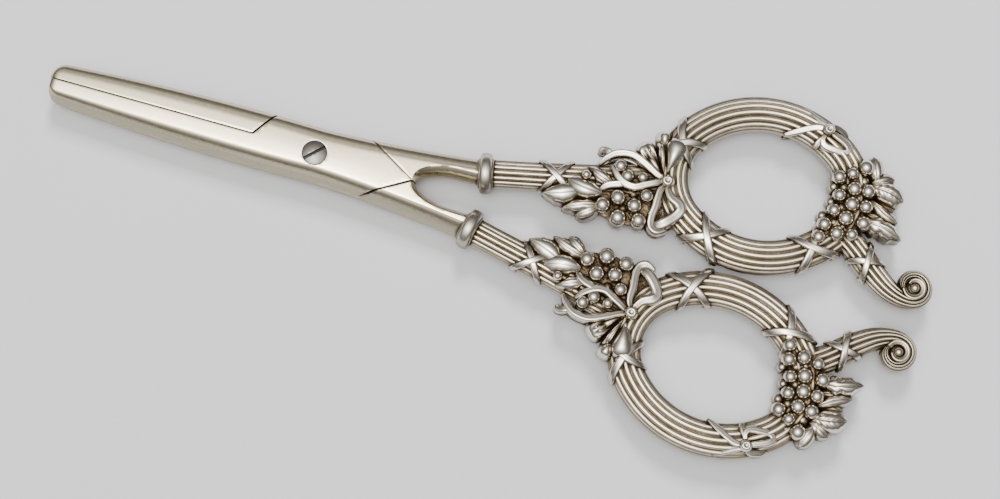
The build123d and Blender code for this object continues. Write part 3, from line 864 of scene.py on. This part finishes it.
def tarnish_and_deep_shade_group():
    """Dark tarnish in the recesses, worn bright on the highs, with a golden bloom here and there, and painted
    shade that darkens the places nearer the middle height.
    """
    tree, given, out = group(
        "recess_tarnish_and_deep_shade",
        {
            "Bright": COLOR, "Dark": COLOR, "Bloom": COLOR,
            "Amount": FLOAT, "Bloom Amount": FLOAT, "Depth": FLOAT,
        },
        {"Color": COLOR, "Roughness": FLOAT},
    )
    hollow = tree.nodes.new("ShaderNodeAmbientOcclusion")
    hollow.samples = 12
    feed(tree, hollow, {"Distance": RECESS_REACH})
    fine = noise(tree, 1500.0, 4.0, 0.6)
    uneven = math_node(tree, "MULTIPLY_ADD", noise(tree, 320.0, 3.0), 0.5, -0.25)
    shaded = math_node(tree, "MULTIPLY_ADD", uneven, 0.35, hollow.outputs["AO"])
    # Painted shade: the nearer a place lies to the middle height, the darker it is made
    place = tree.nodes.new("ShaderNodeSeparateXYZ")
    feed(tree, place, {0: tree.nodes.new("ShaderNodeTexCoord").outputs["Object"]})
    level = math_node(tree, "ABSOLUTE", math_node(tree, "SUBTRACT", place.outputs["Z"], MID * MM))
    deep = map_range(tree, level, DEEP_SHADE_FROM, DEEP_SHADE_TO)
    recess = math_node(tree, "MULTIPLY_ADD", deep, given["Depth"], map_range(tree, shaded, 0.86, 0.44))
    recess = math_node(tree, "MULTIPLY", recess, given["Amount"], clamp=True)
    # The bloom comes in patches and gathers near the recesses
    bloom = map_range(tree, noise(tree, 210.0, 2.0), 0.36, 0.66, 0.35, 1.0)
    bloom = math_node(tree, "MULTIPLY", bloom, map_range(tree, shaded, 0.97, 0.66))
    bloom = math_node(tree, "MULTIPLY", bloom, given["Bloom Amount"], clamp=True)
    color = mix_color(tree, bloom, given["Bright"], given["Bloom"])
    # Fine specks, a little darker or lighter
    color = mix_color(tree, 1.0, color, map_range(tree, fine, 0.35, 0.75, 0.9, 1.05), "MULTIPLY")
    # The dark colour stands for tarnish in the recesses and for painted shade on the deep places
    color = mix_color(tree, recess, color, given["Dark"])
    # Bright silver is smooth, and tarnish is dull
    rough = math_node(tree, "MULTIPLY_ADD", recess, 0.34, 0.09)
    rough = math_node(tree, "MULTIPLY_ADD", fine, 0.12, rough)
    feed(tree, out, {"Color": color, "Roughness": rough})
    return tree


def wear_group():
    """Fine wear: hairline scratches and soft dents as a height."""
    tree, given, out = group("fine_wear", {"Along": FLOAT}, {"Height": FLOAT})
    long_lines = noise(tree, 900.0, 5.0, 0.7, stretch=(0.06, 1.0, 1.0))
    cross_lines = noise(tree, 700.0, 5.0, 0.7, stretch=(1.0, 0.1, 1.0))
    lines = math_node(tree, "MULTIPLY", long_lines, given["Along"])
    lines = math_node(tree, "MULTIPLY_ADD", cross_lines, 0.35, lines)
    dents = math_node(tree, "MULTIPLY", noise(tree, 160.0, 2.0), 0.65)
    feed(tree, out, {"Height": math_node(tree, "MULTIPLY_ADD", lines, 0.35, dents)})
    return tree


TARNISH_AND_DEEP_SHADE = tarnish_and_deep_shade_group()
WEAR = wear_group()


def metal(name, bright, dark, bloom, amount, bloom_amount, bump, rough=0.0, along=0.4, depth=0.4):
    """A silver surface with its tarnish and wear, and painted shade on its deep places."""
    material = bpy.data.materials.new(name)
    material.use_nodes = True
    tree = material.node_tree
    tarnish = tree.nodes.new("ShaderNodeGroup")
    tarnish.node_tree = TARNISH_AND_DEEP_SHADE
    # depth sets how strongly painted shade darkens the places nearer the middle height
    feed(tree, tarnish, {
        "Bright": bright, "Dark": dark, "Bloom": bloom, "Amount": amount, "Bloom Amount": bloom_amount,
        "Depth": depth,
    })
    wear = tree.nodes.new("ShaderNodeGroup")
    wear.node_tree = WEAR
    feed(tree, wear, {"Along": along})
    relief = tree.nodes.new("ShaderNodeBump")
    feed(tree, relief, {"Strength": bump, "Distance": WEAR_DEPTH, "Height": wear.outputs["Height"]})
    feed(tree, tree.nodes["Principled BSDF"], {
        "Metallic": 1.0,
        "Base Color": tarnish.outputs["Color"],
        "Roughness": math_node(tree, "ADD", tarnish.outputs["Roughness"], rough),
        "Normal": relief.outputs["Normal"],
    })
    return material


# Dark colour for tarnish in the recesses and for painted shade on the deep places; each finish's depth sets
# that shade
DARK_TARNISH_AND_SHADE = (0.085, 0.064, 0.036)
# The blades' sides, nearer the middle height, get painted shade for the shadowed table that they mirror
BLADE_PLATE = metal(
    "blade_plate_worn", (0.93, 0.83, 0.62), (0.12, 0.11, 0.075), (0.70, 0.55, 0.34),
    amount=1.0, bloom_amount=0.35, bump=0.08, rough=-0.02, along=1.0, depth=0.6,
)
RAIL_SILVER = metal(
    "rail_silver_reeded", (0.84, 0.77, 0.64), DARK_TARNISH_AND_SHADE, (0.46, 0.34, 0.17),
    amount=1.15, bloom_amount=1.0, bump=0.3,
)
COLLAR_SILVER = metal(
    "collar_silver_turned", (0.60, 0.56, 0.49), DARK_TARNISH_AND_SHADE, (0.46, 0.36, 0.20),
    amount=1.15, bloom_amount=0.8, bump=0.6, rough=0.14,
)
RIBBON_SILVER = metal(
    "ribbon_silver_rubbed", (0.82, 0.77, 0.68), (0.10, 0.07, 0.038), (0.46, 0.34, 0.16),
    amount=1.1, bloom_amount=0.9, bump=0.4, depth=0.35,
)
# Strong painted shade on the deep places: the ground between the grapes and the lower sides of grapes and
# leaves
VINE_SILVER = metal(
    "vine_silver_oxidised", (0.83, 0.78, 0.69), (0.14, 0.10, 0.055), (0.40, 0.31, 0.16),
    amount=0.8, bloom_amount=1.0, bump=0.4, depth=0.8,
)
SCREW_STEEL = metal(
    "screw_steel_turned", (0.185, 0.177, 0.165), (0.04, 0.035, 0.03), (0.30, 0.24, 0.18),
    amount=1.0, bloom_amount=0.3, bump=0.9, rough=0.06, depth=0.0,
)


# Blades, cut from one smooth form

CROWN_Z = MID + BLADE_T / 2
FOOT_Z = MID - BLADE_T / 2


def pair_half_width(x):
    """Half the width of the closed blades."""
    outer = SHANK_END[1] + turned(0, SHANK_W / 2, STEM_ANGLE)[1] + SHANK_SWELL
    if x < 0:
        share = -x / TIP_REACH
        width = (JOINT_W + (TIP_W - JOINT_W) * share) / 2 + 4 * BULGE_W * share * (1 - share)
    else:
        width = JOINT_W / 2 + (outer - JOINT_W / 2) * (x / SHANK_END[0]) ** 1.5
    nose = x + TIP_REACH
    if nose < NOSE_R:
        width -= NOSE_R - math.sqrt(max(0.0, NOSE_R**2 - (NOSE_R - nose) ** 2))
    return width


# Sections of the closed pair: distance in from the side, and height as a share of the half thickness
SLOPED_SIDE = (
    (3.4, 0.968), (2.7, 0.915), (2.15, 0.80), (1.65, 0.63), (1.1, 0.40), (0.6, 0.14), (0.22, -0.08),
    (0.0, -0.28), (0.08, -0.5), (0.38, -0.7), (0.97, -0.85), (2.0, -0.94),
)
STEEP_SIDE = (
    (3.1, 0.975), (2.1, 0.93), (1.4, 0.865), (0.85, 0.76), (0.4, 0.62), (0.1, 0.45), (0.0, 0.3),
    (0.0, -0.1), (0.02, -0.4), (0.3, -0.68), (0.97, -0.85), (2.0, -0.94),
)
SIDE_FULL_W = 5.4


def pair_ring(x, drop=0.0):
    """One section of the closed pair: flat crown, one steep side, one sloped side, fuller underside."""
    half_w = pair_half_width(x)
    share = max(0.0, -x / TIP_REACH)
    half_t = (BLADE_T - (BLADE_T - TIP_T) * share**2) / 2 - SHANK_DROP * max(0.0, x / SHANK_END[0]) - drop
    nose = (x + TIP_REACH) / NOSE_ROLL
    if nose < 1:
        half_t -= NOSE_FALL * (1 - math.sqrt(max(0.0, 1 - (1 - nose) ** 2)))
    scale = min(1.0, half_w / SIDE_FULL_W)
    steep = [(half_w - e * scale, z) for e, z in STEEP_SIDE]
    sloped = [(e * scale - half_w, z) for e, z in SLOPED_SIDE]
    corners = [(0.0, 1.0)] + sloped + [(0.0, -1.0)] + steep[::-1]
    full = smooth_path(corners, 5, closed=True)
    return [(x, y, MID + z * half_t) for y, z in full]


def smooth_pair(drop=0.0):
    """Both blades and the roots of both shanks in one mesh."""
    shape = Shape()
    stations = [-TIP_REACH + NOSE_R * (1 - math.cos(math.pi / 2 * i / 10)) for i in range(11)]
    stations += [-TIP_REACH + NOSE_R + (TIP_REACH - NOSE_R + SHANK_END[0] + 2) * i / 90 for i in range(1, 91)]
    shape.tube([pair_ring(x, drop) for x in stations])
    return shape


def raw_object(name, places, faces):
    """A bare mesh in millimetres, for cutting."""
    mesh = bpy.data.meshes.new(name)
    mesh.from_pydata(places, [], faces)
    mesh.update()
    return placed(name, mesh)


def slab(name, outline, low, high):
    """A plan outline as a prism between two heights."""
    area = sum(a[0] * b[1] - b[0] * a[1] for a, b in zip(outline, outline[1:] + outline[:1]))
    if area < 0:
        outline = outline[::-1]
    n = len(outline)
    places = [(x, y, low) for x, y in outline] + [(x, y, high) for x, y in outline]
    faces = [tuple(reversed(range(n))), tuple(range(n, 2 * n))]
    faces += [(i, (i + 1) % n, n + (i + 1) % n, n + i) for i in range(n)]
    return raw_object(name, places, faces)


def apply_modifiers(obj):
    """Settle an object's modifiers into its mesh."""
    mesh = bpy.data.meshes.new_from_object(obj.evaluated_get(bpy.context.evaluated_depsgraph_get()))
    obj.modifiers.clear()
    obj.data = mesh


def combine(target, tool, operation):
    """Cut, join or keep what two meshes share, and drop the tool."""
    modifier = target.modifiers.new("cut", "BOOLEAN")
    modifier.operation = operation
    modifier.solver = "EXACT"
    modifier.object = tool
    apply_modifiers(target)
    bpy.data.objects.remove(tool)


def crotch_outline():
    """Plan of the space between the shanks, which narrows to a point where they meet."""
    u, v = turned(0, SHANK_W / 2, STEM_ANGLE)
    side = smooth_path(CROTCH + ((SHANK_END[0] - u, SHANK_END[1] - v),), 4) + [CROTCH_END]
    return side[::-1] + [(x, -y) for x, y in side[1:]]


# How far the crotch opens out, with the height above the middle, and what its point and near side get of it
CROTCH_FLARE = (
    (0.0, 0.0), (0.0, 0.2), (0.22, 0.8), (0.58, 1.45), (0.95, 1.95), (1.35, 2.32), (1.75, 2.6), (2.15, 2.85),
    (2.5, 3.1),
)
POINT_FLARE = 0.3
NEAR_FLARE = 0.6


def grown(outline, amount):
    """An outline moved outward for the flare of an edge: little at its point, less on the near side."""
    out = []
    n = len(outline)
    for i in range(n):
        a, b, c = (Vector(outline[(i + k) % n]) for k in (-1, 0, 1))
        d = ((b - a).normalized() + (c - b).normalized()).normalized()
        aside = d.x * amount
        out.append((b.x - d.y * amount * POINT_FLARE, b.y + aside * (NEAR_FLARE if aside < 0 else 1.0)))
    return out


def crotch_tool():
    """The space between the shanks, opening out in a long round flare at both faces."""
    outline = crotch_outline()
    levels = CROTCH_FLARE[1:] + ((CROTCH_FLARE[-1][0], 20.0),)
    rows = [(grow, -z) for grow, z in reversed(levels)] + list(levels)
    shape = Shape()
    shape.tube([[(x, y, MID + z) for x, y in grown(outline, -grow)] for grow, z in rows])
    return raw_object("crotch", shape.places, shape.faces)


def scribe_tool():
    """A thin strip above the crown, for the line scribed across the upper blade."""
    (x0, y0), (x1, y1) = SCRIBE
    angle = math.degrees(math.atan2(y1 - y0, x1 - x0))
    strip = slab("scribe", turned_bar((x0, y0), angle, 0, math.dist(*SCRIBE), SCRIBE_W / 2), MID, 20)
    core = smooth_pair(SCRIBE_DEEP)
    combine(strip, raw_object("core", core.places, core.faces), "DIFFERENCE")
    return strip


def wall_region(gap):
    """Plan of the lower blade's wall ahead of the screw, drawn in by half a gap."""
    lean = (WALL_X - WALL_END_X) / (JOINT_W / 2)
    corner = -WALL_X + lean * SEAM_Y - gap * 1.2
    seam = SEAM_Y + gap
    return [(-90, seam), (corner, seam), (corner + lean * (20 - SEAM_Y), 20), (-90, 20)]


def shank_region(side, gap):
    """Plan of one shank where it has its full height, drawn in by half a gap."""
    lean = (MEET_X - JOINT_X) / (JOINT_REAR_W / 2)
    return [
        (MEET_X + gap * 1.3, side * gap), (60, side * gap), (60, side * 20),
        (MEET_X - lean * 20 + gap * 2.0, side * 20),
    ]


def blade_body(side):
    """One blade with its shank, before its holes and tang."""
    gap = SEAM_GAP / 2
    shank_side = 1 if side == "upper" else -1
    pair = smooth_pair()
    body = raw_object(f"{side}_blade_form", pair.places, pair.faces)
    if side == "upper":
        keep = slab("layer", BLOCK, MID + LAP_GAP / 2, 20)
        combine(keep, slab("wall", wall_region(-gap), -5, 25), "DIFFERENCE")
    else:
        keep = slab("layer", BLOCK, -20, MID - LAP_GAP / 2)
        combine(keep, slab("wall", wall_region(gap), -1, 20), "UNION")
    combine(keep, slab("other", shank_region(-shank_side, -gap), -25, 25), "DIFFERENCE")
    combine(keep, slab("own", shank_region(shank_side, gap), -15, 15), "UNION")
    combine(keep, crotch_tool(), "DIFFERENCE")
    combine(body, keep, "INTERSECT")
    for sign in (1, -1):
        behind = turned_bar((SHANK_END[0], sign * SHANK_END[1]), sign * STEM_ANGLE, 0, 30, 12)
        combine(body, slab("end", behind, -30, 30), "DIFFERENCE")
    if side == "upper":
        ahead = turned_bar((0, 0), 0, -90, TIP_STEP - TIP_REACH, 20)
        combine(body, slab("tip", ahead, -30, 30), "DIFFERENCE")
    return body


def round_tool(radius, low, high):
    """A round tool for the screw's holes."""
    return slab("hole", circle(radius, 64), low, high)


def finish_cut(obj, edge, sharp_angle, material, body, node):
    """Bevel the edges of a cut form, move it into place in metres, put it on its half and hide the part it
    stands for.
    """
    bevel = obj.modifiers.new("edge", "BEVEL")
    bevel.width = edge
    bevel.segments = 2
    bevel.limit_method = "ANGLE"
    bevel.angle_limit = math.radians(50)
    apply_modifiers(obj)
    mesh = obj.data
    mesh.transform(Matrix.Translation((-PIVOT_X * MM, 0, 0)) @ Matrix.Scale(MM, 4))
    mesh.shade_smooth()
    mesh.set_sharp_from_angle(angle=math.radians(sharp_angle))
    mesh.materials.clear()
    mesh.materials.append(material)
    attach(obj, body)
    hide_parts(node)


def make_blades():
    """Both blades with their holes and tangs."""
    for side in ("upper", "lower"):
        body = blade_body(side)
        tang = turned_bar(SHANK_END, STEM_ANGLE, -TANG_ROOT, TANG_L, TANG_W / 2)
        if side == "upper":
            floor = CROWN_Z - HEAD_DEEP - HEAD_FLOOR_GAP
            combine(body, round_tool(HEAD_D / 2 + HEAD_GAP, floor, 20), "DIFFERENCE")
            combine(body, scribe_tool(), "DIFFERENCE")
            combine(body, round_tool(CORE_R + 2 * CORE_FIT, -20, 20), "DIFFERENCE")
        else:
            combine(body, round_tool(CORE_R + CORE_FIT, -20, 20), "DIFFERENCE")
            tang = [(x, -y) for x, y in tang]
        combine(body, slab("tang", tang, MID - TANG_W / 2, MID + TANG_W / 2), "UNION")
        finish_cut(body, BLADE_EDGE, 38, BLADE_PLATE, f"{side}_half", f"{side}_blade")


def pivot_screw():
    """The slotted screw with its domed head."""
    r = HEAD_D / 2
    seat = CROWN_Z - HEAD_DEEP
    profile = (
        (0.02, FOOT_Z), (CORE_R - 0.07, FOOT_Z), (CORE_R, FOOT_Z + 0.08), (CORE_R, seat),
        (r - 0.05, seat), (r, seat + 0.1), (r, CROWN_Z - 0.1), (r - 0.1, CROWN_Z + 0.02),
        (r * 0.8, CROWN_Z + 0.12), (r * 0.55, CROWN_Z + 0.24), (r * 0.25, CROWN_Z + 0.31),
        (0.02, CROWN_Z + 0.33),
    )
    shape = Shape()
    shape.tube([[(x, y, z) for x, y in circle(radius, 72)] for radius, z in profile])
    screw = raw_object("pivot_screw_form", shape.places, shape.faces)
    slot = turned_bar((0, 0), SLOT_ANGLE, -4, 4, SLOT_W / 2)
    combine(screw, slab("slot", slot, CROWN_Z - SLOT_DEEP, CROWN_Z + 5), "DIFFERENCE")
    finish_cut(screw, HEAD_EDGE, 35, SCREW_STEEL, "lower_half", "pivot_screw")


# Table, light and camera

TABLE_HALF = 2
WINDOW_AT = (-0.15, 1.0, 1.0)
WINDOW_SIZE = (0.42, 0.36)
WINDOW_POWER = 22.0
WINDOW_TINT = (1.0, 0.99, 0.98)
ROOM_AXIS = (-0.10, -0.13, 0.986)
ROOM_STEPS = (
    (0.0, 0.03), (0.35, 0.04), (0.58, 0.075), (0.74, 0.14), (0.84, 0.26), (0.91, 0.52), (0.95, 0.82),
    (0.975, 1.15), (0.99, 1.9), (1.0, 2.6),
)
ROOM_TINT = (1.0, 0.98, 0.935)
ROOM_LIGHT = 4.6
VIEW_AZIMUTH, VIEW_ELEVATION = 15.95, 80.25
VIEW_DISTANCE = 0.380
VIEW_TARGET = (0.0058, -0.0080, 0.0041)
# The photograph's width in pixels, and its scale
PHOTO_W = 1000
PIXELS_PER_MM = 5.1175
SENSOR = 36.0


def table_top():
    """The pale table that the shears lie on."""
    mesh = bpy.data.meshes.new("table_top")
    corners = turned_bar((0, 0), 0, -TABLE_HALF, TABLE_HALF, TABLE_HALF)
    mesh.from_pydata([(x, y, 0) for x, y in corners], [], [(0, 1, 2, 3)])
    material = bpy.data.materials.new("table_paper")
    material.use_nodes = True
    tree = material.node_tree
    tint = mix_color(tree, noise(tree, 30.0, 3.0), (0.62, 0.63, 0.665), (0.65, 0.66, 0.695))
    shader = tree.nodes["Principled BSDF"]
    feed(tree, shader, {"Base Color": tint, "Roughness": 0.85, "Specular IOR Level": 0.2})
    mesh.materials.append(material)
    top = placed("table_top", mesh)


def window_lamp():
    """Soft light from a window beyond the shears, which the silver doesn't mirror."""
    data = bpy.data.lights.new("window", "AREA")
    data.shape = "RECTANGLE"
    data.size, data.size_y = WINDOW_SIZE
    data.energy = WINDOW_POWER
    data.color = WINDOW_TINT
    obj = placed("window", data)
    obj.location = WINDOW_AT
    obj.rotation_euler = (-Vector(WINDOW_AT)).to_track_quat("-Z", "Y").to_euler()
    obj.visible_glossy = False


def surroundings():
    """The room that the silver reflects: bright overhead, falling off to dark walls."""
    world = bpy.data.worlds.new("room")
    world.use_nodes = True
    tree = world.node_tree
    tree.nodes.clear()
    toward = tree.nodes.new("ShaderNodeVectorMath")
    toward.operation = "DOT_PRODUCT"
    feed(tree, toward, {0: tree.nodes.new("ShaderNodeTexCoord").outputs["Generated"], 1: ROOM_AXIS})
    ramp = tree.nodes.new("ShaderNodeValToRGB")
    ramp.color_ramp.interpolation = "EASE"
    feed(tree, ramp, {0: toward.outputs["Value"]})
    peak = ROOM_STEPS[-1][1]
    stops = ramp.color_ramp.elements
    for place, _ in ROOM_STEPS[1:-1]:
        stops.new(place)
    for stop, (_, light) in zip(stops, ROOM_STEPS):
        stop.color = (*(light / peak * c for c in ROOM_TINT), 1)
    back = tree.nodes.new("ShaderNodeBackground")
    feed(tree, back, {"Color": ramp.outputs["Color"], "Strength": ROOM_LIGHT * peak})
    feed(tree, tree.nodes.new("ShaderNodeOutputWorld"), {"Surface": back.outputs["Background"]})
    bpy.context.scene.world = world


def camera():
    """The photograph's view: from above and slightly to the front."""
    azimuth, elevation = math.radians(VIEW_AZIMUTH), math.radians(VIEW_ELEVATION)
    level = math.cos(elevation)
    back = Vector((math.sin(azimuth) * level, -math.cos(azimuth) * level, math.sin(elevation)))
    data = bpy.data.cameras.new("view")
    data.sensor_width = SENSOR
    data.lens = SENSOR * VIEW_DISTANCE / (PHOTO_W / PIXELS_PER_MM * MM)
    data.clip_start, data.clip_end = 0.01, 10.0
    obj = placed("view", data)
    obj.location = Vector(VIEW_TARGET) + back * VIEW_DISTANCE
    obj.rotation_mode = "QUATERNION"
    obj.rotation_quaternion = (-back).to_track_quat("-Z", "Y")
    bpy.context.scene.camera = obj


make_blades()
pivot_screw()
for_both("collar", collar(), COLLAR_SILVER, 50)
for_both("finger_loop", reeded(LOOP, 0.55), RAIL_SILVER)
for_both("stem", reeded(STEM, 0.8), RAIL_SILVER)
for_both("scroll", scroll(), RAIL_SILVER)
for name, form in (("ribbon_ties", ribbon_ties), ("ribbon_bow", ribbon_bow), ("rail_bow", rail_bow)):
    for_both(name, form(), RIBBON_SILVER)
for name, form in (
    ("stem_grapes", stem_grapes), ("grape_cluster", grape_cluster), ("stem_leaves", stem_leaves),
    ("vine_leaves", vine_leaves),
):
    for_both(name, form(), VINE_SILVER)
table_top()
surroundings()
window_lamp()
camera()
